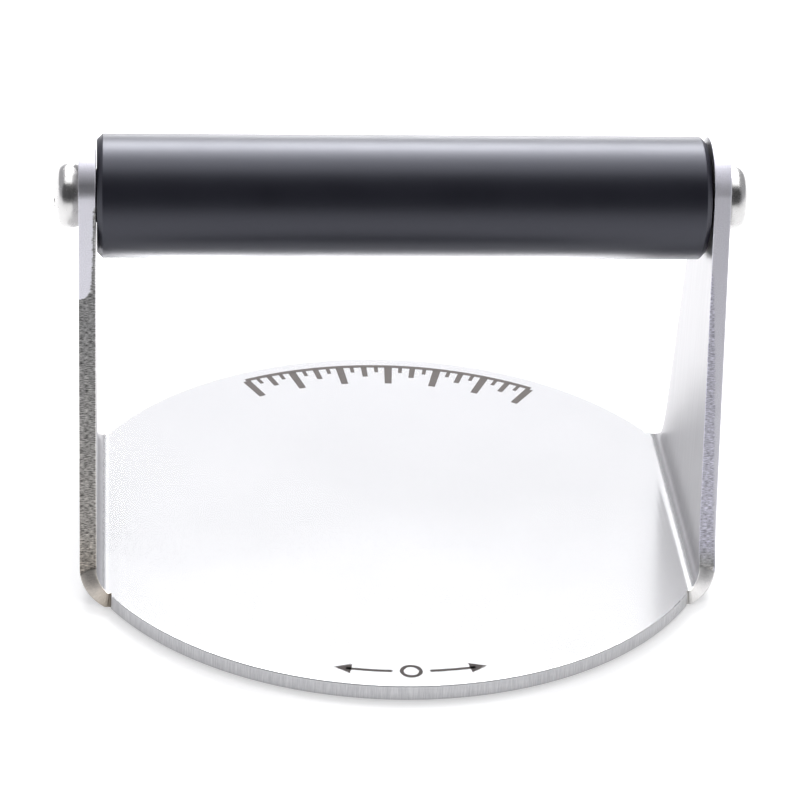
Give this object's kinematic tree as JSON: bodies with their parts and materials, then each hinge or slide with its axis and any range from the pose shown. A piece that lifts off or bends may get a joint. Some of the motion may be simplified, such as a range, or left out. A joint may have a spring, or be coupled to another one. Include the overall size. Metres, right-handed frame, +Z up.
{
  "type": "patty press",
  "caption": "Round flat press plate of bent sheet steel with two tapered ears holding a turning bar grip above it.",
  "frame": {"origin": "centre of the pressing face, on the surface the press stands on", "axes": "+X along the grip, +Y to the back, +Z up"},
  "size_m": [0.124, 0.12, 0.0788],
  "materials": {
    "plate_steel": "fine brushed, laser-cut edges",
    "spindle_steel": "drawn bar",
    "grip_black": "satin turned",
    "screw_steel": "polished"
  },
  "bodies": {
    "press": {"press_plate": "plate_steel", "spindle": "spindle_steel", "screw_left": "screw_steel", "screw_right": "screw_steel"},
    "turning_grip": {"grip": "grip_black"}
  },
  "joints": [
    {"name": "grip_spin", "type": "hinge", "parent": "press", "child": "turning_grip", "pos_m": [0, 0, 0.0676], "axis": [1, 0, 0], "continuous": true}
  ]
}
